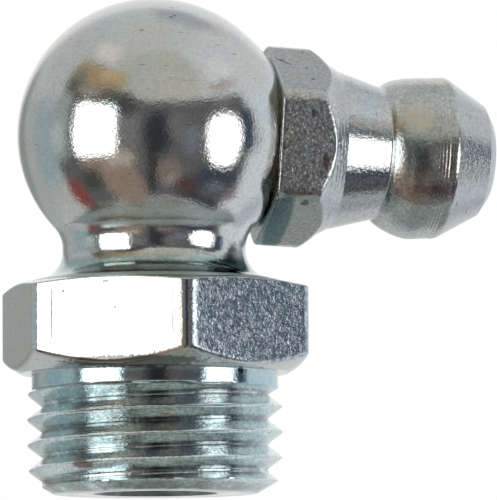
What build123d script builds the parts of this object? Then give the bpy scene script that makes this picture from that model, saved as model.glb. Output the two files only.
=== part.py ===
from build123d import *
from math import cos, radians, sin, sqrt, tan
import os

os.makedirs("parts", exist_ok=True)

# Right-angle grease nipple, M10x1, in millimetres and degrees. The threaded end face lies on the
# XY plane, Z is the thread axis, and the head leaves the ball along +X, a little below square.

# body: threaded end
thread_dia = 10.0
thread_len = 4.7            # end face to hexagon seat
end_face_dia = 8.0
end_chamfer_angle = 30.0    # from the end face
shank_relief = 0.175        # radial, plain stretch before the seat, below the thread's crest
shank_len = 0.6
shank_root_fillet = 0.2     # leaves the seat ring wider than the thread
runout_angle = 40.0         # from the shank

# body: hexagon
hex_flats = 11.0
hex_turn = 30.0             # corner from +X, so two flats face along X
hex_height = 3.5            # seat to the top of the flats
hex_corner_radius = 0.5
seat_ring = 0.425           # radial, flat seat outside the shank
seat_chamfer_angle = 30.0   # from the seat
top_chamfer_angle = 19.0    # from the seat

# body: neck and ball
neck_dia = 7.2
neck_len = 1.29             # top of the hexagon's cone to the ball
neck_root_fillet = 1.0
neck_ball_fillet = 1.2
ball_dia = 10.7
spot_face_dia = 6.1         # flat on the ball that the collar seats on
spot_face_margin = 0.1      # radial, cutter past the flat

# body: drilled passages
grease_bore_dia = 4.5
grease_bore_mouth = 4.9     # countersunk at the end face
side_bore_overrun = 0.2     # side drilling past the grease bore
drill_point_angle = 118.0

# head: lengths along its axis, in order from the inside end
head_dip = 3.0              # below square to the thread
head_drop = 0.12            # where its axis crosses the thread axis, below the ball's centre
shank_depth = 3.98          # pressed into the ball
collar_len = 2.1            # to where the flats run out
neck_taper_len = 1.95
back_cone_len = 1.2
land_len = 1.3
tip_edge_len = 0.35

# head: sections
shank_fit_dia = 5.2         # shared by the shank and the side drilling
collar_flats = 7.0
collar_corner_radius = 0.7
collar_turn = 34.0          # corner from +Y, so the side flats lean a little downwards
collar_chamfer_angle = 35.0  # from the head axis, like the two below
shoulder_angle = 29.0
front_cone_angle = 31.0
shoulder_dia = 6.3
head_neck_dia = 5.2
land_dia = 6.4
tip_edge_dia = 4.5
tip_flat_dia = 3.4

# check valve
check_ball_dia = 3.0
chamber_clearance = 0.2     # radial, round the ball
seat_gap = 0.02
seat_cone_angle = 45.0      # from the head axis
orifice_dia = 2.0
orifice_len = 0.45
lip_len = 0.4               # inside rim rolled in behind the spring
lip_bore_dia = 2.2
spring_wire_dia = 0.4
spring_side_gap = 0.3       # radial, coil to chamber
spring_end_gap = 0.02
spring_turns = 11.0


def rise(run, angle):
    # height that a slope gains over a run
    return run * tan(radians(angle))


def run(height, angle):
    # length over which a slope gains a height
    return height / tan(radians(angle))


# Body stations along Z, and the sections that follow the thread.
shank_dia = thread_dia - 2 * shank_relief
seat_dia = shank_dia + 2 * seat_ring
hex_corner = hex_flats / sqrt(3)
end_chamfer_top = rise((thread_dia - end_face_dia) / 2, end_chamfer_angle)
thread_top = thread_len - shank_len
runout_start = thread_top - run((thread_dia - shank_dia) / 2, runout_angle)
seat_chamfer_top = thread_len + rise(hex_corner - seat_dia / 2, seat_chamfer_angle)
flat_top = thread_len + hex_height
corner_top = flat_top - rise(hex_corner - hex_flats / 2, top_chamfer_angle)
cone_top = flat_top + rise((hex_flats - neck_dia) / 2, top_chamfer_angle)
neck_top = cone_top + neck_len
ball_centre = neck_top + sqrt((ball_dia / 2) ** 2 - (neck_dia / 2) ** 2)
ball_top = ball_centre + ball_dia / 2

# Head stations along its own axis, from where that crosses the thread axis.
head_height = ball_centre - head_drop
spot_face = sqrt((ball_dia / 2) ** 2 - (spot_face_dia / 2) ** 2)
shank_start = spot_face - shank_depth
collar_end = spot_face + collar_len
collar_corner = collar_flats / sqrt(3)
chamfer_start = collar_end - run(collar_corner - collar_flats / 2, collar_chamfer_angle)
shoulder = collar_end + run((collar_flats - shoulder_dia) / 2, shoulder_angle)
head_neck = shoulder + neck_taper_len
land_start = head_neck + back_cone_len
land_end = land_start + land_len
tip_edge = land_end + run((land_dia - tip_edge_dia) / 2, front_cone_angle)
tip = tip_edge + tip_edge_len
side_bore_end = -grease_bore_dia / 2 - side_bore_overrun
side_bore_point = side_bore_end - run(shank_fit_dia / 2, drill_point_angle / 2)

# Valve stations, from the tip inwards.
chamber_dia = check_ball_dia + 2 * chamber_clearance
orifice_start = tip - orifice_len
seat_start = orifice_start - run((chamber_dia - orifice_dia) / 2, seat_cone_angle)
seat_apex = orifice_start + run(orifice_dia / 2, seat_cone_angle)
valve_ball = seat_apex - (check_ball_dia / 2 + seat_gap) / sin(radians(seat_cone_angle))
spring_dia = chamber_dia - 2 * spring_side_gap - spring_wire_dia
lip_end = shank_start + lip_len
spring_start = lip_end + spring_wire_dia / 2 + spring_end_gap
ball_to_wire = (check_ball_dia + spring_wire_dia) / 2 + spring_end_gap
spring_end = valve_ball - sqrt(ball_to_wire**2 - (spring_dia / 2) ** 2)
spring_len = spring_end - spring_start

# The head's planes: one holds its axis and its turned outline, the other faces along it.
head_direction = (cos(radians(head_dip)), 0, -sin(radians(head_dip)))
head_outline_plane = Plane(origin=(0, 0, head_height), x_dir=head_direction, z_dir=(0, -1, 0))
head_face_plane = Plane(origin=(0, 0, head_height), x_dir=(0, 1, 0), z_dir=head_direction)
head_axis = Axis((0, 0, head_height), head_direction)

# Body: hexagon bar turned down to the outline, then drilled from below and from the side.
with BuildPart() as body:
    with BuildSketch(Plane.XY) as bar_section:
        RegularPolygon(
            radius=hex_flats / 2, side_count=6, major_radius=False, rotation=hex_turn
        )
        fillet(bar_section.vertices(), radius=hex_corner_radius)
    extrude(amount=ball_top)

    with BuildSketch(Plane.XZ) as body_outline:
        with BuildLine():
            Polyline(
                (0, 0),
                (end_face_dia / 2, 0),
                (thread_dia / 2, end_chamfer_top),
                (thread_dia / 2, runout_start),
                (shank_dia / 2, thread_top),
                (shank_dia / 2, thread_len),
                (seat_dia / 2, thread_len),
                (hex_corner, seat_chamfer_top),
                (hex_corner, corner_top),
                (neck_dia / 2, cone_top),
                (neck_dia / 2, neck_top),
            )
            RadiusArc((neck_dia / 2, neck_top), (ball_dia / 2, ball_centre), -ball_dia / 2)
            RadiusArc((ball_dia / 2, ball_centre), (0, ball_top), -ball_dia / 2)
            Line((0, ball_top), (0, 0))
        make_face()
        shank_root = body_outline.vertices().sort_by_distance((shank_dia / 2, thread_len))[0]
        fillet(shank_root, radius=shank_root_fillet)
        neck_root = body_outline.vertices().sort_by_distance((neck_dia / 2, cone_top))[0]
        fillet(neck_root, radius=neck_root_fillet)
        neck_joint = body_outline.vertices().sort_by_distance((neck_dia / 2, neck_top))[0]
        fillet(neck_joint, radius=neck_ball_fillet)
    revolve(axis=Axis.Z, mode=Mode.INTERSECT)

    with BuildSketch(head_face_plane.offset(spot_face)):
        Circle(spot_face_dia / 2 + spot_face_margin)
    extrude(amount=ball_dia / 2, mode=Mode.SUBTRACT)

    with BuildSketch(head_outline_plane):
        with BuildLine():
            Polyline(
                (spot_face, 0),
                (spot_face, shank_fit_dia / 2),
                (side_bore_end, shank_fit_dia / 2),
                (side_bore_point, 0),
                close=True,
            )
        make_face()
    revolve(axis=head_axis, mode=Mode.SUBTRACT)

    with Locations(Plane(origin=(0, 0, 0), z_dir=(0, 0, -1))):
        CounterSinkHole(
            radius=grease_bore_dia / 2,
            counter_sink_radius=grease_bore_mouth / 2,
            depth=head_height,
            counter_sink_angle=90,
        )

# Head: turned from its own hexagon bar, bored for the valve, pressed in up to the spot face.
with BuildPart() as nipple_head:
    with BuildSketch(head_face_plane.offset(shank_start)) as collar_section:
        RegularPolygon(
            radius=collar_flats / 2, side_count=6, major_radius=False, rotation=collar_turn
        )
        fillet(collar_section.vertices(), radius=collar_corner_radius)
    extrude(amount=tip - shank_start)

    with BuildSketch(head_outline_plane):
        with BuildLine():
            Polyline(
                (shank_start, 0),
                (shank_start, shank_fit_dia / 2),
                (spot_face, shank_fit_dia / 2),
                (spot_face, collar_corner),
                (chamfer_start, collar_corner),
                (collar_end, collar_flats / 2),
                (shoulder, shoulder_dia / 2),
                (head_neck, head_neck_dia / 2),
                (land_start, land_dia / 2),
                (land_end, land_dia / 2),
                (tip_edge, tip_edge_dia / 2),
                (tip, tip_flat_dia / 2),
                (tip, 0),
                close=True,
            )
        make_face()
    revolve(axis=head_axis, mode=Mode.INTERSECT)

    with BuildSketch(head_outline_plane):
        with BuildLine():
            Polyline(
                (shank_start, 0),
                (shank_start, lip_bore_dia / 2),
                (lip_end, lip_bore_dia / 2),
                (lip_end, chamber_dia / 2),
                (seat_start, chamber_dia / 2),
                (orifice_start, orifice_dia / 2),
                (tip, orifice_dia / 2),
                (tip, 0),
                close=True,
            )
        make_face()
    revolve(axis=head_axis, mode=Mode.SUBTRACT)

# Check ball, sprung outwards against the cone behind the orifice.
with BuildPart() as check_ball:
    with Locations(head_face_plane.offset(valve_ball)):
        Sphere(radius=check_ball_dia / 2)

# Check spring, a coil between the rolled lip and the back of the ball.
with BuildPart() as check_spring:
    with BuildLine() as coil:
        Helix(
            pitch=spring_len / spring_turns,
            height=spring_len,
            radius=spring_dia / 2,
            center=head_face_plane.offset(spring_start).origin,
            direction=head_direction,
        )
    with BuildSketch(Plane(origin=coil.line @ 0, z_dir=coil.line % 0)):
        Circle(spring_wire_dia / 2)
    sweep(path=coil.line, is_frenet=True)

body.part.label = "body"
nipple_head.part.label = "nipple_head"
check_ball.part.label = "check_ball"
check_spring.part.label = "check_spring"

export_step(body.part, "parts/body.step")
export_step(nipple_head.part, "parts/nipple_head.step")
export_step(check_ball.part, "parts/check_ball.step")
export_step(check_spring.part, "parts/check_spring.step")
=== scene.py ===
import math

import bmesh
import bpy
import numpy as np
from mathutils import Matrix, Vector


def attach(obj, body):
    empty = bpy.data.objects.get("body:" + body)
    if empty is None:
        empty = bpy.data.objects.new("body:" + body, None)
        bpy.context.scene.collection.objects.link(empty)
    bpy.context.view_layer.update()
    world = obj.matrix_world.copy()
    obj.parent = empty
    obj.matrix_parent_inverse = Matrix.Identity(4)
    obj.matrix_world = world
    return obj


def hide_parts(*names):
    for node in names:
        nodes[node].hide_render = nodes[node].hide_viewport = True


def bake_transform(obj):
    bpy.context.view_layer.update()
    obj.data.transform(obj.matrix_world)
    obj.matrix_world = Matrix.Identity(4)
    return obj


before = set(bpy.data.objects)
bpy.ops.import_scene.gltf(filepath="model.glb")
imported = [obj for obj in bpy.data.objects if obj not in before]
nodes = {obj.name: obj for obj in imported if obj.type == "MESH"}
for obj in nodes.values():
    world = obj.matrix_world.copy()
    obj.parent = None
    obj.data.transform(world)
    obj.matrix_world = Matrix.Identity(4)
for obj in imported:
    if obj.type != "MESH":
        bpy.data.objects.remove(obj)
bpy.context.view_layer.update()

millimetre = 0.001
sharpAngle = math.radians(40)
mergeGaps = {"thread": 0.0002, "body": 0.001, "spring": 0.0001}  # nearer points than this are one, in mm
print("frame loaded:", ", ".join(sorted(nodes)))


# meshes of revolution: rows of points, one point per column

arcRoom = {
    "shared": 0.48,  # share of a stretch for an arc, where the next corner has one too
    "alone": 0.96,
    "used": 0.9,
    "lead": 1.5,  # for the rows beside an arc, which keep flats flat
}


def columnRow(columns, *pair):
    # a number, or one for each column, for both values of a row
    return np.stack([np.broadcast_to(np.asarray(value, dtype=float), columns) for value in pair], axis=1)


def outline(sizes, columns, corners):
    # rows through corners, each a pair of values with the radius and the steps of its arc; a name is a size
    made, rows = [], []
    for corner in corners:
        values = [sizes[value] if isinstance(value, str) else value for value in corner]
        made.append((columnRow(columns, *values[:2]), *(values[2:] or (0, 0))))
    for index, (corner, radius, steps) in enumerate(made):
        if radius == 0:
            rows.append(corner)
            continue
        ways, rooms = [], []
        for neighbour, itsRadius, _ in (made[index - 1], made[index + 1]):
            length = np.linalg.norm(neighbour - corner, axis=1, keepdims=True)
            ways.append((neighbour - corner) / length)
            rooms.append(length * arcRoom["shared" if itsRadius else "alone"])
        half = np.arccos(np.clip((ways[0] * ways[1]).sum(1, keepdims=True), -1, 1)) / 2
        reach = np.minimum(radius / np.tan(half), arcRoom["used"] * np.minimum(*rooms))
        middle = ways[0] + ways[1]
        centre = corner + middle / np.linalg.norm(middle, axis=1, keepdims=True) * reach / np.cos(half)
        first, last = (corner + way * reach - centre for way in ways)
        before, after = (
            corner + way * np.minimum(reach * arcRoom["lead"], room) for way, room in zip(ways, rooms))
        turn = math.pi - 2 * half
        rows.append(before)
        for share in np.linspace(0, 1, steps + 1):
            spoke = first * np.sin((1 - share) * turn) + last * np.sin(share * turn)
            rows.append(centre + spoke / np.sin(turn))
        rows.append(after)
    return rows


def meshFromRows(name, rows, closed=False):
    # rows are joined by quads, with their outside on the right of travel; a row of one point is a pole
    starts = np.cumsum([0] + [len(row) for row in rows]).tolist()
    pairs = list(zip(range(len(rows) - 1), range(1, len(rows)))) + [(len(rows) - 1, 0)] * closed
    faces = []
    for low, high in pairs:
        for column in range(max(len(rows[low]), len(rows[high]))):
            corners = [
                starts[index] + step % len(rows[index]) for index, step in (
                    (low, column), (low, column + 1), (high, column + 1), (high, column))]
            faces.append(tuple(dict.fromkeys(corners)))
    mesh = bpy.data.meshes.new(name)
    mesh.from_pydata([tuple(point * millimetre) for row in rows for point in row], [], faces)
    return mesh


def addObject(name, data):
    made = bpy.data.objects.new(name, data)
    bpy.context.scene.collection.objects.link(made)
    return made


def dress(mesh, material):
    mesh.materials.clear()
    mesh.materials.append(material)


def pieceFromMesh(name, mesh, material):
    dress(mesh, material)
    return addObject(name, mesh)


def evaluatedMesh(piece):
    return bpy.data.meshes.new_from_object(piece.evaluated_get(bpy.context.evaluated_depsgraph_get()))


def smoothed(mesh):
    mesh.shade_smooth()
    mesh.set_sharp_from_angle(angle=sharpAngle)
    return mesh


def hexagonColumns(sizes):
    # angles in degrees, closer together round the corners, and the rounded hexagon's radius at each
    corner = math.radians(30)
    arcRadius = sizes["cornerRadius"]
    arcCentre = (sizes["flats"] / 2 - arcRadius) / math.cos(corner)
    reach = math.atan2(arcRadius * math.sin(corner), arcCentre + arcRadius * math.cos(corner))
    ends = (0, 30 - math.degrees(reach), 30 + math.degrees(reach), 60)
    steps = (sizes["flatSteps"], sizes["arcSteps"], sizes["flatSteps"])
    sector = np.concatenate([
        np.linspace(start, end, count + 1)[:-1] for start, end, count in zip(ends, ends[1:], steps)])
    angles = np.concatenate([sector + 60 * side for side in range(6)])
    fromFlat = np.abs((angles + 30) % 60 - 30)
    flat = sizes["flats"] / 2 / np.cos(np.radians(fromFlat))
    fromCorner = np.radians(30 - fromFlat)
    chord = np.sqrt(np.maximum(arcRadius ** 2 - (arcCentre * np.sin(fromCorner)) ** 2, 0))
    arc = arcCentre * np.cos(fromCorner) + chord
    return angles, np.where(fromCorner < reach, arc, flat)


# nodes: a helper finds the tree by the fields that it is given

class Field:
    # an output socket that can be reckoned with like a number
    def __init__(self, socket):
        self.socket = socket

    def __add__(self, other):
        return calc("ADD", self, other)

    def __sub__(self, other):
        return calc("SUBTRACT", self, other)

    def __mul__(self, other):
        return calc("MULTIPLY", self, other)

    def __truediv__(self, other):
        return calc("DIVIDE", self, other)

    def __abs__(self):
        return calc("ABSOLUTE", self)


def treeOf(*values):
    return next(value.socket.id_data for value in values if isinstance(value, Field))


def addNode(tree, kind, inputs=None, **settings):
    made = tree.nodes.new(kind)
    for name, value in settings.items():
        setattr(made, name, value)
    for key, value in (inputs or {}).items():
        if isinstance(value, Field):
            tree.links.new(value.socket, made.inputs[key])
        else:
            made.inputs[key].default_value = value
    return made


def field(tree, kind, inputs=None, output=0, **settings):
    return Field(addNode(tree, kind, inputs, **settings).outputs[output])


def calc(operation, *values):
    return field(treeOf(*values), "ShaderNodeMath", dict(enumerate(values)), operation=operation)


def vectorCalc(operation, place, other=(0, 0, 0)):
    output = "Value" if operation in ("DOT_PRODUCT", "LENGTH") else "Vector"
    return field(treeOf(place), "ShaderNodeVectorMath", {0: place, 1: other}, output, operation=operation)


def combined(*parts):
    return field(treeOf(*parts), "ShaderNodeCombineXYZ", dict(enumerate(parts)))


def separated(place):
    return [Field(socket) for socket in addNode(treeOf(place), "ShaderNodeSeparateXYZ", {0: place}).outputs]


def between(share, first, second):
    # first where the share is 0, second where it is 1
    return share * second + calc("SUBTRACT", 1.0, share) * first


def smoothStep(value, low, high):
    # 0 at low and 1 at high, which may be the smaller one
    return field(treeOf(value), "ShaderNodeMapRange", {
        "Value": value, "From Min": low, "From Max": high,
    }, interpolation_type="SMOOTHSTEP")


def band(value, low, high, soft):
    # 1 between low and high, with soft edges
    return smoothStep(value, low - soft, low + soft) * smoothStep(value, high + soft, high - soft)


def noise(place, scale, detail=2.0, roughness=0.5, seed=0.0):
    return field(treeOf(place), "ShaderNodeTexNoise", {
        "Vector": place, "W": seed, "Scale": scale, "Detail": detail, "Roughness": roughness,
    }, "Fac", noise_dimensions="4D")


def stretched(place, scale, rotation=(0, 0, 0)):
    return field(treeOf(place), "ShaderNodeMapping", {"Vector": place, "Scale": scale, "Rotation": rotation})


def mixColour(share, first, second, blend="MIX"):
    # the node's colours are its inputs 6 and 7 and its output 2
    tree = treeOf(share, first, second)
    colours = {
        key: value if isinstance(value, Field) else (*value, 1) for key, value in ((6, first), (7, second))}
    return field(tree, "ShaderNodeMix", {"Factor": share, **colours}, 2, data_type="RGBA", blend_type=blend)


def mixShader(share, first, second):
    return field(treeOf(share), "ShaderNodeMixShader", {0: share, 1: first, 2: second})


def scaledColour(colour, factor):
    return mixColour(1.0, colour, combined(factor, factor, factor), "MULTIPLY")


def bump(height, distance, normal=None):
    inputs = {"Strength": 1.0, "Distance": distance, "Height": height}
    if normal:
        inputs["Normal"] = normal
    return field(treeOf(height), "ShaderNodeBump", inputs)


def reachAlong(place, axis, origin=(0, 0, 0)):
    # how far a place lies along an axis from the origin given
    return vectorCalc("DOT_PRODUCT", place, tuple(axis)) - float(np.dot(origin, axis))


def newMaterial(name):
    made = bpy.data.materials.new(name)
    made.use_nodes = True
    made.node_tree.nodes.clear()
    return made, made.node_tree


def newMetal(name):
    # an empty material, and the place on the object in millimetres
    material, tree = newMaterial(name)
    return material, stretched(field(tree, "ShaderNodeTexCoord", output="Object"), (1 / millimetre,) * 3)


def finishMetal(material, colour, roughness, normal):
    shader = field(material.node_tree, "ShaderNodeBsdfPrincipled", {
        "Base Color": colour, "Metallic": 1.0, "Roughness": roughness, "Normal": normal,
    })
    addNode(material.node_tree, "ShaderNodeOutputMaterial", {0: shader})
    return material


# body: bored from below, threaded, hexagon, neck and ball

bodySizes = {
    "boreRadius": 2.25,
    "boreMouth": 2.45,
    "mouthDepth": 0.2,
    "endFaceRadius": 4.0,
    "shankRadius": 4.825,
    "tubeTop": 4.15,
    "seatHeight": 4.7,
    "shankFillet": 0.06,
    "seatRadius": 5.25,
    "seatChamfer": 30.0,
    "flats": 11.0,
    "hexagonHeight": 3.44,
    "cornerRadius": 0.6,
    "topChamfer": 13.5,
    "neckRadius": 3.6,
    "neckTop": 10.1442,  # where the neck would meet the ball without its fillet
    "neckRootFillet": 1.25,
    "neckBallFillet": 1.2,
    "ballRadius": 5.35,
    "edgeRound": 0.06,
    "lowerEdgeRound": 0.30,  # hexagon edges
    "upperEdgeRound": 0.07,
    "flatSteps": 21,
    "arcSteps": 8,
    "filletSteps": 15,
    "ballRows": 90,
}
headPlace = {
    "dip": 3.0,  # degrees below square
    "drop": 0.12,  # where its axis crosses the thread axis, below the ball's centre
    "boreRadius": 2.6,
    "boreEnd": -2.45,
    "borePoint": -4.012,
    "boreColumns": 180,
    "spotFace": 4.31,
    "spotRadius": 3.45,
    "swell": 0.11,  # the ball stands proud of its sphere under the collar
    "swellRadii": (3.4, 4.4),  # full inside, gone outside
    "collarTurn": 4.0,  # degrees from +Y to the middle of a flat
}

ballCentre = bodySizes["neckTop"] + math.sqrt(bodySizes["ballRadius"] ** 2 - bodySizes["neckRadius"] ** 2)
dip = math.radians(headPlace["dip"])
headAxis = np.array((math.cos(dip), 0, -math.sin(dip)))
headAcross = np.array((0, 1, 0))
headUp = np.array((math.sin(dip), 0, math.cos(dip)))
headOrigin = np.array((0, 0, ballCentre - headPlace["drop"]))


# zinc plated steel: clouds of tint on a base colour, grain, tool marks, pits and single marks

platedFinish = {
    "steel": (0.54, 0.545, 0.545),
    "yellowish": (0.55, 0.53, 0.47),
    "teal": (0.40, 0.52, 0.56),
    # pale teal: the thread's own tint, and a painted highlight on the cone above the flats
    "paleTeal": (0.60, 0.69, 0.70),
    "deepTeal": (0.28, 0.38, 0.37),
    "shade": (0.17, 0.225, 0.235),
    # blue and pale blue are painted reflection of the dark room, on the flat that faces right
    "darkBlueReflection": (0.25, 0.30, 0.35),
    "paleBlueReflection": (0.50, 0.545, 0.58),
    "rust": (0.16, 0.07, 0.035),
    # shade is a painted shade colour
    "brown": (0.24, 0.15, 0.10),
    # dirt, which also serves as painted shade on the seat chamfer and the shank below it
    "dirt": (0.07, 0.065, 0.06),
    # cream paints a highlight
    "creamHighlight": (0.62, 0.55, 0.42),
    # a stain, which on the barrel also paints a reflection
    "stainAndReflection": (0.34, 0.305, 0.25),
    "darkest": 0.15,  # least share of the colour that a speckle leaves
    "coolStrength": 0.6,
    # cells per millimetre, share of them that hold a mark, its size in cells, colour and strength
    "pits": (
        ((1.3, 1.3, 1.3), 0.35, 0.075, "dirt", 1.0),
        ((0.7, 0.7, 0.7), 0.18, 0.075, "rust", 1.0),
    ),
    "scratches": (0.16, 0.16, "dirt", 0.45),
    "nicks": (0.45, 0.3, "brown", 0.5),
    "cellSpread": 0.7,  # the smallest marks lack this share of the size
    "cellCore": 0.4,  # share of a mark that has its full strength
    "raggedReach": (1.15, 0.75),
    "roughness": 0.035,  # least, and what the smudges add
    "smudgeRoughness": 0.08,
}
# scale per millimetre, detail, roughness and seed of each noise; then where it starts and is full
patterns = {
    "cloud": (0.35, 3.0, 0.5, 3.0, 0.45, 0.8),
    "cool": (0.6, 4.0, 0.5, 11.0, 0.5, 0.8),
    "speckle": (7.0, 3.0, 0.75, 13.0),
    "ragged": (5.0, 2.0, 0.5, 1.0),
    "toolLines": (1.0, 4.0, 0.7, 5.0),
    "grain": (8.5, 3.0, 0.6, 7.0),
    "smudge": (0.8, 2.0, 0.5, 17.0),
    "blotch": (1.1, 4.0, 0.65, 23.0),
    "spots": (4.5, 2.0, 0.5, 29.0, 0.42, 0.58),
    "stainAndReflection": (1.7, 4.0, 0.7, 43.0, 0.4, 0.65),
}
bodyFinish = {
    "ballGrain": 0.0075,  # millimetres, like every height here
    "threadGrain": 0.010,
    "sideGrain": 0.016,  # the flat that faces right
    "ballLines": 0.0007,
    "threadLines": 0.007,
    "ballSpeckle": 0.7,  # share by which the fine spots change the colour
    "threadSpeckle": 1.6,
    "threadRoughness": 0.04,  # added on the thread, and on the cone above the flats
    "coneRoughness": 0.35,
    "boreDarkening": 0.7,
    "rootDirt": 0.5,
    "tealBlotch": (0.2, 0.55),
    "neckBlotch": (0.15, 0.6),
    "rootBlotch": (0.65, 0.45),
    "shankBand": (4.05, 4.67, 0.07),
    "sideWay": (0.5, -math.sqrt(0.75), 0),
    # heights where each zone starts and is full, or its ends and softness; then the same for the radius
    "bore": ((4.0, 3.0), (2.9, 2.6)),
    "thread": ((4.2, 3.9), (3.0, 3.6)),
    "root": ((4.2, 4.0), (4.62, 4.42)),
    "neckRoot": ((8.42, 9.1, 0.2), (5.0, 4.6)),
    # the cone above the flats: rougher, and paler as a painted highlight
    "cone": ((8.15, 8.6, 0.03), (4.4, 4.8)),
    # the flat that faces right: coarser grain, and a blue tint with dark blue spots that paint the dark
    # room's reflection
    "side": ((4.9, 8.1, 0.1), (5.38, 5.46)),
    "markScale": (0.35, 0.35, 11.0),
    "markTurn": (0, 0, 0),
    "scratchScale": (0.0875, 0.0875, 2.75),
    "nickScale": (1.3, 1.3, 7.0),
    # colour, strength, middle, size across, through and up, turn about Z in degrees
    "marks": (
        ("dirt", 0.85, (-4.845, -3.555, 6.75), (0.03, 0.4, 1.2), -30),
        ("dirt", 0.7, (-2.93, -4.66, 7.93), (0.15, 0.2, 0.05), -30),
        ("dirt", 0.9, (-4.44, -3.79, 7.59), (0.06, 0.2, 0.05), -30),
        ("dirt", 0.8, (-2.62, -4.84, 6.92), (0.04, 0.2, 0.05), -30),
        ("brown", 0.6, (-0.62, -6.00, 6.60), (0.03, 0.4, 1.1), -30),
        # a painted highlight: a cream line along the hexagon's right corner
        ("creamHighlight", 0.7, (-0.35, -6.15, 6.40), (0.05, 0.4, 1.3), -30),
        ("rust", 0.75, (-3.62, -3.31, 0.97), (0.50, 0.6, 0.16), -45),
        # these two are painted shade: a dark band on the seat chamfer and a brown band on the shank below it,
        # on the front
        ("dirt", 0.75, (-2.33, -5.00, 4.84), (3.1, 1.6, 0.24), -13),
        ("brown", 0.5, (-0.75, -4.65, 4.36), (1.7, 0.6, 0.22), -13),
        ("dirt", 0.8, (2.48, -4.14, 4.57), (0.17, 0.3, 0.14), 30),
        ("dirt", 0.6, (0.00, -3.25, 18.35), (0.09, 0.3, 0.05)),
        ("dirt", 0.5, (-1.29, -3.68, 17.76), (0.12, 0.3, 0.04)),
    ),
}
collarTurn = math.radians(headPlace["collarTurn"])
headFinish = {
    "flatWay": tuple(-math.cos(collarTurn) * headAcross - math.sin(collarTurn) * headUp),
    "flatReach": (3.40, 3.47),
    "collar": (6.55, 6.4),  # along the head's axis
    "tip": (11.5, 11.7),
    "barrel": (9.2, 11.5, 0.15),
    # the stain's band on the barrel, where it also paints the dark room's reflection
    "stainAndReflectionHeight": (-1.7, 1.3, 0.5),
    "dullness": (0.85, 0.87, 0.88),
    "neckGrain": 0.014,
    "collarGrain": 0.026,
    "tipGrain": 0.018,
    "lines": 0.0007,
    "neckSpeckle": 1.2,
    "collarSpeckle": 3.4,
    "tipSpeckle": 1.0,
    "barrelSpeckle": 1.7,
    "barrelStainAndReflection": 0.5,
    "collarRoughness": 0.12,
    "barrelRoughness": 0.14,
    "markScale": (11.0, 0.35, 0.35),
    "markTurn": (0, -dip, 0),
    "scratchScale": (2.75, 0.0875, 0.0875),
    "nickScale": (5.0, 1.3, 1.3),
    # as on the body, with a lean in degrees and how ragged the edge is
    "marks": (
        ("rust", 0.75, (6.12, -3.45, 12.80), (0.13, 0.3, 0.34)),
        ("rust", 0.6, (5.95, -3.42, 12.36), (0.10, 0.3, 0.12)),
        ("dirt", 0.8, (5.61, -3.58, 14.68), (0.10, 0.3, 0.16)),
        ("rust", 0.55, (5.10, -3.25, 11.52), (0.45, 0.3, 0.08)),
        ("dirt", 0.75, (5.39, -2.90, 11.22), (0.17, 0.3, 0.12)),
        # painted shade on the collar's lower back, next to the ball
        ("shade", 1.0, (4.66, -1.35, 10.45), (0.44, 2.6, 2.2), 0, 0, 0.1),
        ("dirt", 0.75, (4.96, -1.59, 16.89), (0.42, 0.3, 0.035), 0, 30),
        ("dirt", 0.6, (4.72, -1.45, 17.00), (0.30, 0.3, 0.03), 0, 42),
        ("dirt", 0.5, (4.86, -1.45, 16.98), (0.12, 0.12, 0.12)),
        ("dirt", 0.7, (5.76, -1.88, 16.64), (0.06, 0.08, 0.08)),
        ("dirt", 0.7, (5.81, -2.65, 16.12), (0.08, 0.08, 0.08)),
        ("dirt", 0.7, (6.11, -3.34, 15.53), (0.07, 0.10, 0.10)),
        ("brown", 0.5, (10.42, -2.65, 11.63), (0.95, 0.8, 0.45)),
        ("yellowish", 0.6, (10.05, -2.88, 14.76), (0.6, 0.8, 0.7)),
    ),
}


def pattern(place, name):
    scale, detail, roughness, seed, *ends = patterns[name]
    made = noise(place, scale, detail, roughness, seed)
    return smoothStep(made, *ends) if ends else made


def tinted(colour, share, tint):
    return mixColour(share, colour, platedFinish[tint])


def patch(place, uneven, middle, size, turn=0, lean=0, ragged=0.5):
    # 1 inside an uneven spot
    turned = stretched(
        vectorCalc("SUBTRACT", place, middle), (1, 1, 1), (0, math.radians(-lean), math.radians(-turn)))
    reach = vectorCalc("LENGTH", vectorCalc("DIVIDE", turned, size))
    return smoothStep(reach + uneven * (2 * ragged) - ragged, *platedFinish["raggedReach"])


def cellMarks(colour, place, scale, share, size, tint, strength):
    # small separate marks: some of a Voronoi pattern's cells hold one
    cells = addNode(treeOf(place), "ShaderNodeTexVoronoi", {"Vector": stretched(place, scale), "Scale": 1.0})
    drawn = addNode(treeOf(place), "ShaderNodeSeparateColor", {0: Field(cells.outputs["Color"])}).outputs
    chosen = calc("LESS_THAN", Field(drawn[0]), share)
    spread = platedFinish["cellSpread"]
    reach = Field(drawn[1]) * (size * spread) + size * (1 - spread)
    inside = smoothStep(Field(cells.outputs["Distance"]), reach, reach * platedFinish["cellCore"])
    return tinted(colour, inside * chosen * strength, tint)


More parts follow.
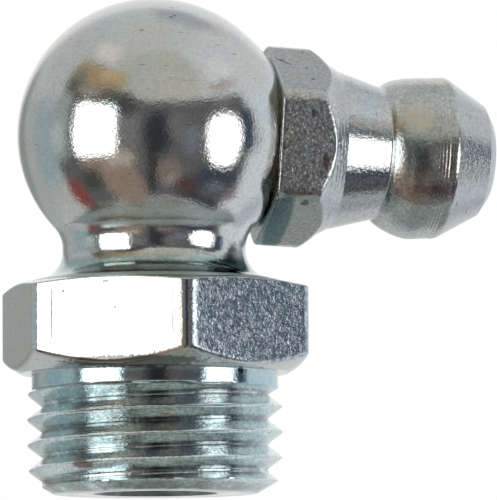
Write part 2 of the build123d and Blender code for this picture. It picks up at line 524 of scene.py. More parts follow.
def platedSteel(name, finish, shade):
    material, place = newMetal(name)
    colour = mixColour(pattern(place, "cloud"), platedFinish["steel"], platedFinish["yellowish"])
    colour, grainHeight, lineHeight, rougher, speckle = shade(place, colour, finish)
    fine = (pattern(place, "speckle") - 0.5) * speckle + 1.0
    colour = scaledColour(colour, calc("MAXIMUM", fine, platedFinish["darkest"]))
    colour = tinted(colour, pattern(place, "cool") * platedFinish["coolStrength"], "teal")
    for scale, *marks in (
        *platedFinish["pits"], (finish["scratchScale"], *platedFinish["scratches"]),
        (finish["nickScale"], *platedFinish["nicks"]),
    ):
        colour = cellMarks(colour, place, scale, *marks)
    uneven = pattern(place, "ragged")
    for tint, strength, *shape in finish["marks"]:
        colour = tinted(colour, patch(place, uneven, *shape) * strength, tint)
    lines = pattern(stretched(place, finish["markScale"], finish["markTurn"]), "toolLines")
    normal = bump(pattern(place, "grain"), grainHeight * millimetre)
    normal = bump(lines, lineHeight * millimetre, normal)
    smudge = pattern(place, "smudge") * platedFinish["smudgeRoughness"]
    roughness = smudge + rougher + platedFinish["roughness"]
    return finishMetal(material, colour, roughness, normal)


def shadeBody(place, colour, finish):
    # teal in the thread, on the shank and at the neck's root; darker in the bore; dirt in the thread's roots;
    # a painted blue reflection on the flat that faces right and a pale painted highlight on the cone above
    # the flats
    across, through, height = separated(place)
    fromAxis = calc("SQRT", across * across + through * through)
    outwards = reachAlong(place, finish["sideWay"])

    def zone(name, reach):
        heights, reaches = finish[name]
        along = band(height, *heights) if len(heights) == 3 else smoothStep(height, *heights)
        return along * smoothStep(reach, *reaches)

    bore, thread, root, neckRoot, cone = (
        zone(name, fromAxis) for name in ("bore", "thread", "root", "neckRoot", "cone"))
    side = zone("side", outwards)
    blotch = pattern(place, "blotch")
    teal, neckTeal, rootDirt = (
        smoothStep(blotch, *finish[name]) for name in ("tealBlotch", "neckBlotch", "rootBlotch"))
    for share, tint in (
        (bore * finish["boreDarkening"], "dirt"),
        (thread * teal, "paleTeal"),
        (band(height, *finish["shankBand"]) * teal, "teal"),
        (neckRoot * neckTeal, "deepTeal"),
        (root * rootDirt * finish["rootDirt"], "dirt"),
        # painted reflection: the flat that faces right is tinted blue, with dark blue spots
        (side, "paleBlueReflection"),
        (side * pattern(place, "spots"), "darkBlueReflection"),
        # a painted highlight: the cone above the flats is tinted pale
        (cone, "paleTeal"),
    ):
        colour = tinted(colour, share, tint)
    grain = between(side, between(thread, finish["ballGrain"], finish["threadGrain"]), finish["sideGrain"])
    lines = between(thread, finish["ballLines"], finish["threadLines"])
    rougher = thread * finish["threadRoughness"] + cone * finish["coneRoughness"]
    return colour, grain, lines, rougher, between(thread, finish["ballSpeckle"], finish["threadSpeckle"])


def shadeHead(place, colour, finish):
    # duller; the collar's near flat is the coarse one, and the tip's cone is grainier than the neck
    along = reachAlong(place, headAxis, headOrigin)
    outwards = reachAlong(place, finish["flatWay"], headOrigin)
    tip = smoothStep(along, *finish["tip"])
    barrel = band(along, *finish["barrel"])
    near = smoothStep(along, *finish["collar"]) * smoothStep(outwards, *finish["flatReach"])
    # a stain on the barrel's middle band: partly a real stain, partly painted reflection of the dark room
    middle = barrel * band(reachAlong(place, headUp, headOrigin), *finish["stainAndReflectionHeight"])
    colour = mixColour(1.0, colour, finish["dullness"], "MULTIPLY")
    colour = tinted(colour, middle * pattern(place, "stainAndReflection") * finish["barrelStainAndReflection"], "stainAndReflection")
    grain = between(tip, between(near, finish["neckGrain"], finish["collarGrain"]), finish["tipGrain"])
    speckle = between(near, finish["neckSpeckle"], finish["collarSpeckle"])
    speckle = between(barrel, between(tip, speckle, finish["tipSpeckle"]), finish["barrelSpeckle"])
    rougher = near * finish["collarRoughness"] + barrel * finish["barrelRoughness"]
    return colour, grain, finish["lines"], rougher, speckle


bodySteel = platedSteel("platedSteelBody", bodyFinish, shadeBody)
headSteel = platedSteel("platedSteelHead", headFinish, shadeHead)
print("plated steel made")


# rolled thread

threadSizes = {
    "Pitch": 1.0,
    "Crest Radius": 5.0,
    "Crest Flat": 0.06,
    "Crest Fall": 0.02,  # the crest's ends stand lower than its middle
    "Fullest Height": 2.6,
    "Root Radius": 4.42,
    "Flank Slope": 1.3,  # radius lost for each step away from the crest
    "Crest Round": 0.05,
    "Root Round": 0.06,
    "First Crest": 0.42,
    "End Face Radius": bodySizes["endFaceRadius"],
    "End Slope": 1.732,
    "Shank Radius": bodySizes["shankRadius"],
    "Thread Top": 4.1,
    "Run-out Slope": 1.6,
    "Tube Top": bodySizes["tubeTop"],
    "Wear Depth": 0.02,
    "Wear Size": 0.35,
    "Wear Seed": 4,
    "Columns": 300,
    "Rows per Turn": 20,
    "Turns": 6,
}


def threadTree():
    tree = bpy.data.node_groups.new("rolledThread", "GeometryNodeTree")
    kinds = {name: "Int" if isinstance(value, int) else "Float" for name, value in threadSizes.items()}
    for name, kind in {"Geometry": "Geometry", **kinds, "Finish": "Material"}.items():
        tree.interface.new_socket(name, in_out="INPUT", socket_type="NodeSocket" + kind)
    tree.interface.new_socket("Geometry", in_out="OUTPUT", socket_type="NodeSocketGeometry")
    given = {socket.name: Field(socket) for socket in addNode(tree, "NodeGroupInput").outputs}
    pitch, crestRadius, shankRadius = (given[name] for name in ("Pitch", "Crest Radius", "Shank Radius"))
    grid = field(tree, "GeometryNodeMeshGrid", {
        "Size X": 1.0, "Size Y": 1.0,
        "Vertices X": given["Columns"] + 1.0, "Vertices Y": given["Rows per Turn"] * given["Turns"] + 1.0,
    })
    turnShare, rowShare = (part + 0.5 for part in separated(field(tree, "GeometryNodeInputPosition"))[:2])
    # each row of the grid climbs one pitch in a turn, and the tube is cut square at both ends
    climb = pitch * turnShare
    height = rowShare * (pitch * given["Turns"]) + (given["First Crest"] - pitch * 2.0) + climb
    height = calc("MINIMUM", calc("MAXIMUM", height, 0.0), given["Tube Top"])
    fromCrest = calc("PINGPONG", height - climb - given["First Crest"], pitch * 0.5)
    angle = turnShare * math.tau
    across, through = calc("COSINE", angle), calc("SINE", angle)
    wear = noise(
        combined(across * crestRadius, through * crestRadius, height),
        calc("DIVIDE", 1.0, given["Wear Size"]), 3.0, seed=given["Wear Seed"])
    wear = (wear - 0.5) * given["Wear Depth"]
    fromFullest = (height - given["Fullest Height"]) / pitch
    crest = crestRadius - fromFullest * fromFullest * given["Crest Fall"]
    peak = given["Crest Flat"] * 0.5 * given["Flank Slope"]
    flank = crest + peak - fromCrest * given["Flank Slope"]
    radius = calc("SMOOTH_MIN", crest - abs(wear), flank, given["Crest Round"])
    radius = calc("SMOOTH_MAX", radius, given["Root Radius"] + wear, given["Root Round"])
    endCone = given["End Face Radius"] + height * given["End Slope"]
    radius = calc("SMOOTH_MIN", radius, endCone, given["Crest Round"])
    toTop = calc("MAXIMUM", given["Thread Top"] - height, 0.0)
    radius = calc("MINIMUM", radius, shankRadius + toTop)
    radius = calc("MAXIMUM", radius, shankRadius - toTop * given["Run-out Slope"])
    radius = calc("MINIMUM", radius, endCone)
    onTube = vectorCalc("MULTIPLY", combined(across * radius, through * radius, height), (millimetre,) * 3)
    tube = field(tree, "GeometryNodeSetPosition", {"Geometry": grid, "Position": onTube})
    merged = field(tree, "GeometryNodeMergeByDistance", {
        "Geometry": tube, "Distance": mergeGaps["thread"] * millimetre})
    real = field(tree, "GeometryNodeRealizeInstances", {"Geometry": merged})
    finished = field(tree, "GeometryNodeSetMaterial", {"Geometry": real, "Material": given["Finish"]})
    addNode(tree, "NodeGroupOutput", {"Geometry": finished})
    return tree


def nodesMesh(name, tree, values):
    # the plain mesh that a Geometry Nodes tree gives for these inputs
    holder = addObject(name, bpy.data.meshes.new(name))
    modifier = holder.modifiers.new(name, "NODES")
    modifier.node_group = tree
    for item in tree.interface.items_tree:
        if item.in_out == "INPUT" and item.name in values:
            modifier[item.identifier] = values[item.name]
    mesh = evaluatedMesh(holder)
    holder.modifiers.remove(modifier)
    bpy.data.objects.remove(holder)
    return mesh


threadMesh = nodesMesh("threadTurns", threadTree(), {**threadSizes, "Finish": bodySteel})
print("thread rolled:", len(threadMesh.vertices), "vertices")


def swelling(points):
    # how far each point of the ball is pushed along the head's axis, and the change with the radius
    fromOrigin = points - headOrigin
    along = fromOrigin @ headAxis
    outward = fromOrigin - along[:, None] * headAxis
    radius = np.maximum(np.linalg.norm(outward, axis=1), 1e-6)
    inner, outer = headPlace["swellRadii"]
    share = np.clip((outer - radius) / (outer - inner), 0, 1) * (along > 0)
    push = headPlace["swell"] * share ** 2 * (3 - 2 * share)
    change = -headPlace["swell"] * 6 * share * (1 - share) / (outer - inner)
    return push, change[:, None] * outward / radius[:, None]


def neckFillet(sizes):
    # the arc between the neck's cylinder and the ball, and where on the ball it ends
    radius = sizes["neckBallFillet"]
    across = sizes["neckRadius"] + radius
    down = math.sqrt((sizes["ballRadius"] + radius) ** 2 - across ** 2)
    touch = math.atan2(down, across)
    turns = np.linspace(math.pi, math.pi - touch, sizes["filletSteps"] + 1)
    arc = [(across + radius * math.cos(turn), ballCentre - down + radius * math.sin(turn)) for turn in turns]
    return arc, math.pi / 2 - touch


def bodyRows(sizes):
    hexAngles, flatRadius = hexagonColumns(sizes)
    columns = len(hexAngles)
    evenAngles = np.arange(columns) * 360 / columns
    seatSlope = math.tan(math.radians(sizes["seatChamfer"]))
    topSlope = math.tan(math.radians(sizes["topChamfer"]))
    flatTop = sizes["seatHeight"] + sizes["hexagonHeight"]
    coneTop = flatTop + (sizes["flats"] / 2 - sizes["neckRadius"]) * topSlope
    filletArc, filletAngle = neckFillet(sizes)

    def placed(row, angles):
        turn = np.radians(angles)
        return np.stack((row[:, 0] * np.cos(turn), row[:, 0] * np.sin(turn), row[:, 1]), axis=1)

    lower = outline(sizes, columns, [
        ("boreRadius", headOrigin[2]),
        ("boreRadius", "mouthDepth", "edgeRound", 3),
        ("boreMouth", 0, sizes["edgeRound"] / 2, 3),
        ("endFaceRadius", 0),
    ])
    shank = outline(sizes, columns, [
        ("shankRadius", "tubeTop"),
        ("shankRadius", "seatHeight", "shankFillet", 6),
        ("seatRadius", "seatHeight"),
    ])[:-1]
    seatEdge = sizes["seatHeight"] + (flatRadius - sizes["seatRadius"]) * seatSlope
    topEdge = flatTop - (flatRadius - sizes["flats"] / 2) * topSlope
    upper = outline(sizes, columns, [
        (sizes["shankRadius"] + sizes["shankFillet"], "seatHeight"),
        ("seatRadius", "seatHeight", "edgeRound", 3),
        (flatRadius, seatEdge, "lowerEdgeRound", 6),
        (flatRadius, topEdge, "upperEdgeRound", 5),
        ("neckRadius", coneTop, "neckRootFillet", 14),
        filletArc[0],
    ])[1:-1] + [columnRow(columns, *point) for point in filletArc]
    lowerRows = [np.array([headOrigin])] + [placed(row, evenAngles) for row in lower]
    upperRows = [placed(row, evenAngles) for row in shank] + [placed(row, hexAngles) for row in upper]
    for polar in np.linspace(math.pi - filletAngle, 0, sizes["ballRows"] + 1)[1:-1]:
        across, up = sizes["ballRadius"] * math.sin(polar), sizes["ballRadius"] * math.cos(polar)
        row = placed(columnRow(columns, across, ballCentre + up), hexAngles)
        upperRows.append(row + swelling(row)[0][:, None] * headAxis)
    upperRows.append(np.array([[0, 0, ballCentre + sizes["ballRadius"]]]))
    return lowerRows, upperRows


def boreCutter():
    # side drilling with its point, and the spot face that the head seats on
    turn = np.arange(headPlace["boreColumns"]) * math.tau / headPlace["boreColumns"]
    around = np.outer(np.cos(turn), headAcross) + np.outer(np.sin(turn), headUp)
    end, seat = headPlace["boreEnd"], headPlace["spotFace"]
    past = seat + bodySizes["ballRadius"]
    rows = [np.array([headOrigin + headAxis * headPlace["borePoint"]])]
    bore, spot = headPlace["boreRadius"], headPlace["spotRadius"]
    for along, radius in ((end, bore), (seat, bore), (seat, spot), (past, spot)):
        rows.append(headOrigin + headAxis * along + radius * around)
    rows.append(np.array([headOrigin + headAxis * past]))
    return pieceFromMesh("boreCutter", meshFromRows("boreCutter", rows), bodySteel)


def joinedMesh(name, meshes):
    joined = bmesh.new()
    for mesh in meshes:
        joined.from_mesh(mesh)
    bmesh.ops.remove_doubles(joined, verts=joined.verts, dist=mergeGaps["body"] * millimetre)
    bmesh.ops.recalc_face_normals(joined, faces=joined.faces)
    for face in joined.faces:
        face.smooth = True
    whole = bpy.data.meshes.new(name)
    joined.to_mesh(whole)
    openEdges = sum(1 for side in joined.edges if len(side.link_faces) != 2)
    joined.free()
    print(name, "faces:", len(whole.polygons), "open edges:", openEdges)
    return whole


def cutMesh(name, piece, cutter):
    modifier = piece.modifiers.new("bore", "BOOLEAN")
    modifier.operation = "DIFFERENCE"
    modifier.solver = "MANIFOLD"
    modifier.object = cutter
    mesh = evaluatedMesh(piece)
    mesh.name = name
    piece.modifiers.remove(modifier)
    bpy.data.objects.remove(piece)
    bpy.data.objects.remove(cutter)
    return mesh


def readAll(items, name, width=1, kind=float):
    values = np.zeros(len(items) * width, dtype=kind)
    items.foreach_get(name, values)
    return values.reshape(-1, width) if width > 1 else values


ballTests = {
    "offSphere": 0.004,  # millimetres
    "lowest": 0.8,  # ball radii below its centre
    "facing": 0.97,  # leaves out the spot face, whose corners lie on the ball too
}


def ballNormals(mesh):
    # true normals on the ball, so that the cut edge doesn't dent its reflections
    mesh.set_sharp_from_angle(angle=sharpAngle)
    points = readAll(mesh.vertices, "co", 3) / millimetre
    push, change = swelling(points)
    fromCentre = points - push[:, None] * headAxis - np.array((0, 0, ballCentre))
    distance = np.linalg.norm(fromCentre, axis=1)
    ballNormal = fromCentre / distance[:, None]
    ballNormal = ballNormal - change * (ballNormal @ headAxis)[:, None]
    ballNormal /= np.linalg.norm(ballNormal, axis=1, keepdims=True)
    radius = bodySizes["ballRadius"]
    onBall = np.abs(distance - radius) < ballTests["offSphere"]
    onBall &= points[:, 2] > ballCentre - radius * ballTests["lowest"]
    corners = readAll(mesh.loops, "vertex_index", kind=np.int32)
    totals = readAll(mesh.polygons, "loop_total", kind=np.int32)
    faceOf = np.repeat(np.arange(len(totals)), totals)
    onBallCount = np.bincount(faceOf, weights=onBall[corners], minlength=len(totals))
    trueNormals = ballNormal[corners]
    facing = (readAll(mesh.polygons, "normal", 3)[faceOf] * trueNormals).sum(1)
    wholeFace = (onBallCount == totals)[faceOf] & (facing > ballTests["facing"])
    normals = readAll(mesh.corner_normals, "vector", 3)
    normals[wholeFace] = trueNormals[wholeFace]
    mesh.normals_split_custom_set([tuple(row) for row in normals])


def makeBody():
    lowerRows, upperRows = bodyRows(bodySizes)
    shells = [meshFromRows("bodyLower", lowerRows), threadMesh, meshFromRows("bodyUpper", upperRows)]
    whole = pieceFromMesh("bodyWhole", joinedMesh("bodyWhole", shells), bodySteel)
    mesh = cutMesh("bodyShell", whole, boreCutter())
    ballNormals(mesh)
    return pieceFromMesh("bodyShell", mesh, bodySteel)


bodyPiece = makeBody()
print("body made:", len(bodyPiece.data.polygons), "faces")


# head: turned from its own hexagon bar, bored for the valve

headSizes = {
    "lipStart": 0.4155,
    "lipEnd": 0.8155,
    "lipRadius": 1.1,
    "lipRound": 0.1,
    "shankRadius": headPlace["boreRadius"],
    "shankRound": 0.15,
    "collarStart": headPlace["spotFace"],
    "collarEnd": 6.56,
    "flats": 7.0,
    "cornerRadius": 0.7,
    "collarChamfer": 41.0,
    "shoulder": 7.1269,
    "shoulderRadius": 3.15,
    "shoulderRound": 0.35,
    "neck": 9.03,
    "neckRadius": 2.61,
    "neckFillet": 0.06,
    "bow": (-0.10, 10.4, 0.8),  # of the barrel: how far off the axis, where, over what length
    "barrel": ((9.17, 2.78), (9.46, 2.95), (9.95, 3.11)),  # a curved back
    "barrelRound": 1.5,
    "landStart": 10.45,
    "landEnd": 11.5769,
    "landRadius": 3.2,
    "landRound": 1.5,
    "landEdgeRound": 0.38,
    "tipEdge": 13.1579,
    "tipEdgeRadius": 2.25,
    "tip": 13.5079,
    "tipRadius": 1.7,
    "chamberRadius": 1.7,
    "seatStart": 12.3579,
    "orificeStart": 13.0579,
    "orificeRadius": 1.0,
    "orificeRound": 0.04,
    "edgeRound": 0.07,
    "backRound": 0.13,
    "chamferRound": 0.26,
    "chamferStep": 0.03,  # keeps the chamfer's edge off its end ring
    "flatSteps": 14,
    "arcSteps": 12,
    "grooveFeed": 0.14,
    "grooveRows": 6,  # rows to each groove
    "grooveEnds": 8,  # the marks start and end over this part of a stretch
    "grooveSharpness": 0.7,  # below 1, the crests are sharper
    "landGrooves": (0, 0.022),  # depth at each end
    "coneGrooves": (0.001, 0.001),
    "shoulderGrooves": (0.007, 0.007),
}


def grooved(first, last, angles, sizes, name):
    # fine rows between two rows, with the turning tool's helical marks
    (start, startRadius), (end, endRadius) = first[0], last[0]
    count = int((end - start) / sizes["grooveFeed"] * sizes["grooveRows"])
    rows = []
    for share in np.linspace(0, 1, count + 1)[1:-1]:
        along, radius, depth = (
            low + (high - low) * share for low, high in ((start, end), (startRadius, endRadius), sizes[name]))
        depth *= min(1.0, sizes["grooveEnds"] * share, sizes["grooveEnds"] * (1 - share))
        wave = np.abs(np.cos(math.pi * (along / sizes["grooveFeed"] - angles / 360)))
        rows.append(columnRow(len(angles), along, radius - depth * wave ** sizes["grooveSharpness"]))
    return rows


def headRows(sizes):
    angles, flatRadius = hexagonColumns(sizes)
    columns = len(angles)
    chamferSlope = math.tan(math.radians(sizes["collarChamfer"]))
    flats, step = sizes["flats"] / 2, sizes["chamferStep"]
    collar = outline(sizes, columns, [
        ("lipStart", "lipRadius"),
        ("lipStart", "shankRadius", "shankRound", 4),
        ("collarStart", "shankRadius"),
        ("collarStart", flatRadius, "backRound", 4),
        (sizes["collarEnd"] - (flatRadius - flats) / chamferSlope, flatRadius, "chamferRound", 6),
        (sizes["collarEnd"] + step, flats - step * chamferSlope),
    ])
    turned = outline(sizes, columns, [
        collar[-1].T,
        ("shoulder", "shoulderRadius", "shoulderRound", 8),
        ("neck", "neckRadius", "neckFillet", 4),
        *((*corner, "barrelRound", 6) for corner in sizes["barrel"]),
        ("landStart", "landRadius", "landRound", 6),
        ("landEnd", "landRadius"),
    ])[1:-1]
    landEdge = outline(sizes, columns, [
        ("landStart", "landRadius"),
        ("landEnd", "landRadius", "landEdgeRound", 6),
        ("tipEdge", "tipEdgeRadius"),
    ])[1:-1]
    inside = outline(sizes, columns, [
        ("tipEdge", "tipEdgeRadius"),
        ("tip", "tipRadius", "edgeRound", 4),
        ("tip", "orificeRadius", "orificeRound", 3),
        ("orificeStart", "orificeRadius", "orificeRound", 3),
        ("seatStart", "chamberRadius", "edgeRound", 3),
        ("lipEnd", "chamberRadius"),
        ("lipEnd", "lipRadius", "lipRound", 4),
        ("lipStart", "lipRadius"),
    ])[:-1]
    outside = [
        *collar, *grooved(collar[-1], turned[0], angles, sizes, "shoulderGrooves"),
        *turned, *grooved(turned[-1], landEdge[0], angles, sizes, "landGrooves"),
        *landEdge, *grooved(landEdge[-1], inside[0], angles, sizes, "coneGrooves"),
    ]
    turn = np.radians(angles + headPlace["collarTurn"])
    around = np.outer(np.cos(turn), headAcross) + np.outer(np.sin(turn), headUp)
    amount, middle, length = sizes["bow"]
    rows = []
    for row, bow in [(row, amount) for row in outside] + [(row, 0) for row in inside]:
        shift = bow * np.exp(-((row[:, 0] - middle) / length) ** 2)
        axial = np.outer(row[:, 0], headAxis) + np.outer(shift, headUp)
        rows.append(headOrigin + axial + around * row[:, 1:2])
    return rows


headMesh = smoothed(meshFromRows("headShell", headRows(headSizes), closed=True))
headPiece = pieceFromMesh("headShell", headMesh, headSteel)
print("head made:", len(headMesh.polygons), "faces")


# valve: the imported ball, and the imported coil, which on the real valve shortens as the ball lifts

valveFinish = {
    "ballSteel": {"colour": (0.62, 0.62, 0.64), "roughness": 0.05, "scratchScale": (1, 1, 1)},
    "springSteel": {"colour": (0.40, 0.39, 0.37), "roughness": 0.23, "scratchScale": (1, 6, 6)},
    "darker": 0.8,
    "darkEdges": (0.35, 0.7),
    "cloudRoughness": 0.15,  # added to the roughness where the clouds are full
    "scratchHeight": 0.001,
}
patterns["valveCloud"] = (1.5, 3.0, 0.5, 2.0)
patterns["valveScratch"] = (3.0, 4.0, 0.5, 9.0)


def valveSteel(name):
    finish = valveFinish[name]
    material, place = newMetal(name)
    cloud = pattern(place, "valveCloud")
    darker = [valveFinish["darker"] * part for part in finish["colour"]]
    colour = mixColour(smoothStep(cloud, *valveFinish["darkEdges"]), finish["colour"], darker)
    scratches = pattern(stretched(place, finish["scratchScale"]), "valveScratch")
    roughness = cloud * valveFinish["cloudRoughness"] + finish["roughness"]
    normal = bump(scratches, valveFinish["scratchHeight"] * millimetre)
    return finishMetal(material, colour, roughness, normal)


def makeSpring():
    mesh = bpy.data.meshes.new("springCoil")
    coil = bmesh.new()
    coil.from_mesh(nodes["check_spring"].data)
    bmesh.ops.remove_doubles(coil, verts=coil.verts, dist=mergeGaps["spring"] * millimetre)
    coil.to_mesh(mesh)
    coil.free()
    piece = pieceFromMesh("springCoil", smoothed(mesh), valveSteel("springSteel"))
    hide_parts("check_spring")
    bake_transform(piece)


dress(nodes["check_ball"].data, valveSteel("ballSteel"))
makeSpring()
print("valve dressed")


# camera

cameraSizes = {
    "azimuth": -13.47,
    "elevation": -4.93,
    "distance": 235.0,
    "aimHeight": 9.53,
    "aimRight": 3.70,
    "roll": -0.39,
    "lens": 431.6,
    "clipStart": 0.01,  # metres
}


def direction(azimuth, elevation, right, up, front):
    # where a look right of the front axis and above it goes, in degrees
    azimuth, elevation = math.radians(azimuth), math.radians(elevation)
    flat = front * math.cos(azimuth) + right * math.sin(azimuth)
    return flat * math.cos(elevation) + up * math.sin(elevation)


def viewAxes(sizes):
    # right, up and back, towards the camera
    up = Vector((0, 0, 1))
    back = direction(sizes["azimuth"], sizes["elevation"], Vector((1, 0, 0)), up, Vector((0, -1, 0)))
    right = up.cross(back).normalized()
    return right, back.cross(right), back


def makeCamera(sizes):
    right, up, back = viewAxes(sizes)
    aim = Vector((0, 0, sizes["aimHeight"])) + right * sizes["aimRight"]
    data = bpy.data.cameras.new("camera")
    data.lens = sizes["lens"]
    data.clip_start = sizes["clipStart"]
    camera = addObject("camera", data)
    facing = Matrix((right, up, back)).transposed() @ Matrix.Rotation(math.radians(sizes["roll"]), 3, "Z")
    place = Matrix.Translation((aim + back * sizes["distance"]) * millimetre)
    camera.matrix_world = place @ facing.to_4x4()
    bpy.context.scene.camera = camera


makeCamera(cameraSizes)


# studio: two softboxes, a pale room, darker in front of the object, a pale floor

studioSizes = {
    "lampDistance": 0.6,
    "lampStrength": 2.4,
    "boxStrength": 3.2,
    # middle, half width and height, in degrees from the view axis; then squareness, softness, lean, taper
    "leftBox": ((-51.0, 3.5), (19.5, 19.2), 7, 0.05),
    "rightBox": ((64.2, -5.0), (16.3, 18.5), 2.6, 0.05, 0, 0.1),
    "taperReach": 1.2,  # half heights over which a shape tapers
    "wander": 7.0,  # degrees, of the room's edges
    "wanderSeeds": (31.0, 37.0),
    "left": (0.67, 0.69, 0.68),
    "right": (0.86, 0.88, 0.89),
    "sideEdges": (-0.9, 0.9),
    "top": (0.74, 0.745, 0.71),
    "topEdges": (55, 85),
    "below": (0.38, 0.41, 0.385),
    "belowEdges": (-52, -60),
    "mean": (0.62, 0.63, 0.62),
    "mottle": (0.3, 0.85),  # range of the room's uneven brightness, and its least
    "backdrop": (20.0, 20.0, 32.0),  # elevation of its middle, how far it is full, how far it reaches
    # colour, then a shape like the boxes
    "room": (
        ((0.69, 0.67, 0.58), (5, 50), (50, 24), 4, 0.25),
        ((0.95, 0.90, 0.80), (-78, 61), (24, 6), 2, 0.5),
        ((0.97, 0.98, 0.98), (86, 44), (13, 7), 2, 0.5),
        ((0.57, 0.585, 0.57), (-140, -8), (30, 22), 4, 0.3),
        ((0.46, 0.57, 0.60), (-106, -5), (14, 22), 4, 0.3),
        ((0.92, 0.97, 1.0), (125, -12), (30, 32), 4, 0.2),
        ((0.60, 0.62, 0.55), (-78, -64), (30, 7), 3, 0.4),
        ((0.48, 0.57, 0.57), (85, -61), (26, 6), 3, 0.4),
        ((0.37, 0.39, 0.375), (-154, 2), (14, 17), 4, 0.3),
        ((0.58, 0.60, 0.62), (163, 55), (26, 12), 3, 0.4),
        ((0.66, 0.70, 0.76), (134, -38), (13, 13), 3, 0.4),
        ((0.17, 0.17, 0.175), (-1, -14), (91, 41), 12, 0.03),
        ((0.07, 0.10, 0.14), (89, 3), (7.5, 13), 4, 0.15),
        ((0.44, 0.50, 0.48), (-86, 6), (9, 22), 4, 0.2),
        ((0.62, 0.71, 0.68), (-88, 0), (8, 9), 2, 0.4),
        ((0.27, 0.265, 0.26), (-21, 4), (9, 19), 3, 0.3),
        ((0.05, 0.055, 0.065), (5, 1), (12, 17), 3, 0.25),
        ((0.24, 0.225, 0.22), (20, 6), (7, 12), 2, 0.4),
        ((0.25, 0.27, 0.32), (34, -4), (7, 12), 2, 0.4),
        ((0.40, 0.30, 0.24), (-33, -38), (22, 23), 5, 0.12, -0.55, 0.15),
        ((0.64, 0.57, 0.48), (-30, -20), (13, 6), 3, 0.4),
        ((0.045, 0.045, 0.045), (0, -31), (4.5, 22), 3, 0.25),
        ((0.31, 0.24, 0.21), (16, -33), (12, 12), 2, 0.15),
        ((0.50, 0.44, 0.41), (19, -38), (5, 3), 2, 0.4),
        ((0.13, 0.075, 0.08), (38, -42), (15, 8), 2, 0.3),
        ((0.08, 0.095, 0.13), (68, -33), (26, 10), 3, 0.2),
        ((0.35, 0.36, 0.40), (68, -39), (10, 1.6), 2, 0.5, 0.15),
        ((0.32, 0.25, 0.27), (90, -38), (8, 5), 2, 0.4),
        ((0.07, 0.07, 0.08), (62, -51), (34, 4), 3, 0.3),
        ((0.10, 0.10, 0.09), (-62, -34), (11, 8), 3, 0.25),
        ((0.33, 0.10, 0.095), (-86, -39), (9, 10), 4, 0.15),
        ((0.52, 0.39, 0.24), (-62, 43), (34, 8), 5, 0.15),
        ((0.76, 0.55, 0.30), (-45, 46), (17, 4), 2, 0.4),
        ((0.30, 0.29, 0.22), (-84, 36), (11, 8), 3, 0.3),
        ((0.16, 0.15, 0.115), (-54, 30), (37, 5), 4, 0.15),
        ((0.80, 0.77, 0.67), (-62, 31), (15, 1.3), 2, 0.5),
        ((0.11, 0.105, 0.10), (-24, 22), (10, 8), 3, 0.25),
        ((0.30, 0.31, 0.33), (66, 23), (8, 2.5), 2, 0.4),
        ((0.44, 0.35, 0.26), (74, 34), (18, 2), 2, 0.4, -0.5),
    ),
}

floorSizes = {
    "half": 0.4,
    "lift": 5e-6,
    "colour": (0.86, 0.86, 0.85, 1),
}
patterns["wander"] = (6.0, 3.0, 0.5)  # a seed for each angle comes last
patterns["mottle"] = (9.0, 3.0, 0.5, 41.0)


def studioDirection(azimuth, elevation):
    return direction(azimuth, elevation, *viewAxes(cameraSizes))


def softbox(name, middle, half):
    # the lamp itself; what metal shows of it is drawn in the room
    distance = studioSizes["lampDistance"]
    data = bpy.data.lights.new(name, "AREA")
    data.shape = "RECTANGLE"
    data.size, data.size_y = (2 * distance * math.tan(math.radians(angle)) for angle in half)
    data.energy = studioSizes["lampStrength"] * math.pi * data.size * data.size_y
    box = addObject(name, data)
    way = studioDirection(*middle)
    box.location = way * distance + Vector((0, 0, ballCentre * millimetre))
    box.rotation_mode = "QUATERNION"
    box.rotation_quaternion = way.to_track_quat("Z", "Y")
    box.visible_camera = False
    box.visible_glossy = False


def roomShape(azimuth, elevation, middle, half, squareness, softness, lean=0, taper=0):
    # 1 inside a rounded shape of the room
    up = (elevation - middle[1]) / half[1]
    shift = calc("MULTIPLY_ADD", up, -lean * half[1], azimuth - middle[0])
    within = calc("MINIMUM", calc("MAXIMUM", up, -studioSizes["taperReach"]), studioSizes["taperReach"])
    across = shift / calc("MULTIPLY_ADD", within, taper * half[0], half[0])
    total = calc("POWER", abs(across), squareness) + calc("POWER", abs(up), squareness)
    return smoothStep(calc("POWER", total, 1 / squareness), 1 + softness, 1 - softness)


def roomColour(sizes, way):
    # the room's colour in every direction, drawn in degrees from the view axis
    rightward, upward, backward = (vectorCalc("DOT_PRODUCT", way, axis) for axis in viewAxes(cameraSizes))
    azimuth = calc("DEGREES", calc("ARCTAN2", rightward, backward))
    elevation = calc("DEGREES", calc("ARCSINE", upward))
    wandering = []
    for angle, seed in zip((azimuth, elevation), sizes["wanderSeeds"]):
        drift = noise(way, *patterns["wander"], seed)
        wandering.append(calc("MULTIPLY_ADD", drift, sizes["wander"], angle - sizes["wander"] / 2))
    colour = mixColour(smoothStep(rightward, *sizes["sideEdges"]), sizes["left"], sizes["right"])
    for name in ("top", "below"):
        colour = mixColour(smoothStep(elevation, *sizes[name + "Edges"]), colour, sizes[name])
    for tint, *shape in sizes["room"]:
        colour = mixColour(roomShape(*wandering, *shape), colour, tint)
    colour = scaledColour(colour, calc("MULTIPLY_ADD", pattern(way, "mottle"), *sizes["mottle"]))
    for shape in (sizes["leftBox"], sizes["rightBox"]):
        colour = mixColour(roomShape(azimuth, elevation, *shape), colour, (sizes["boxStrength"],) * 3)
    return colour


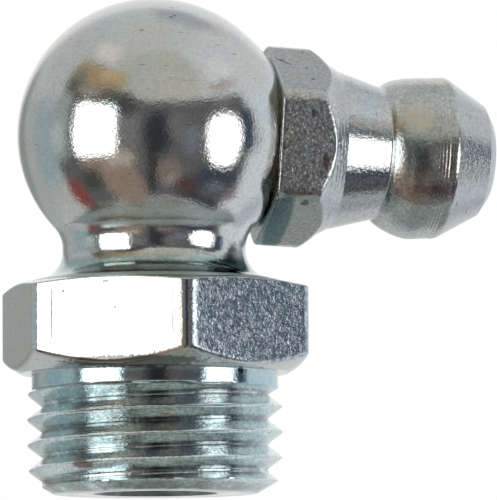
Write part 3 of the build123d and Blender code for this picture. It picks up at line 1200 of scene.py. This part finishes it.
def studioWorld(sizes):
    # matt surfaces get the room's mean; the white behind is seen directly and in metal and glass
    world = bpy.data.worlds.new("studio")
    bpy.context.scene.world = world
    world.use_nodes = True
    tree = world.node_tree
    tree.nodes.clear()
    way = field(tree, "ShaderNodeTexCoord", output="Generated")
    paths = {socket.name: Field(socket) for socket in addNode(tree, "ShaderNodeLightPath").outputs}
    plain, room, white = (
        field(tree, "ShaderNodeBackground", {"Color": colour})
        for colour in ((*sizes["mean"], 1), roomColour(sizes, way), (1, 1, 1, 1)))
    mirrored = calc("MAXIMUM", paths["Is Glossy Ray"], paths["Is Transmission Ray"])
    height, full, end = sizes["backdrop"]
    behind = vectorCalc("DOT_PRODUCT", way, studioDirection(180, height))
    backdrop = smoothStep(behind, math.cos(math.radians(end)), math.cos(math.radians(full)))
    light = mixShader(mirrored, plain, room)
    light = mixShader(mirrored * backdrop, light, white)
    light = mixShader(paths["Is Camera Ray"], light, white)
    addNode(tree, "ShaderNodeOutputWorld", {0: light})


def makeFloor(sizes):
    # open from below and to mirrored rays
    half = sizes["half"]
    mesh = bpy.data.meshes.new("floor")
    corners = ((-half, -half), (half, -half), (half, half), (-half, half))
    mesh.from_pydata([(*corner, sizes["lift"]) for corner in corners], [], [(0, 1, 2, 3)])
    material, tree = newMaterial("paleFloor")
    plain = field(tree, "ShaderNodeBsdfDiffuse", {"Color": sizes["colour"]})
    clear = field(tree, "ShaderNodeBsdfTransparent")
    behind = field(tree, "ShaderNodeNewGeometry", output="Backfacing")
    glossy = field(tree, "ShaderNodeLightPath", output="Is Glossy Ray")
    addNode(tree, "ShaderNodeOutputMaterial", {0: mixShader(calc("MAXIMUM", behind, glossy), plain, clear)})
    floor = pieceFromMesh("floor", mesh, material)


softbox("leftSoftbox", *studioSizes["leftBox"][:2])
softbox("rightSoftbox", *studioSizes["rightBox"][:2])
studioWorld(studioSizes)
makeFloor(floorSizes)
bpy.context.scene.view_settings.view_transform = "Standard"
print("studio set")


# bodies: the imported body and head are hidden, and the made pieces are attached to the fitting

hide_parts("body")
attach(bodyPiece, "fitting")
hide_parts("nipple_head")
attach(headPiece, "fitting")
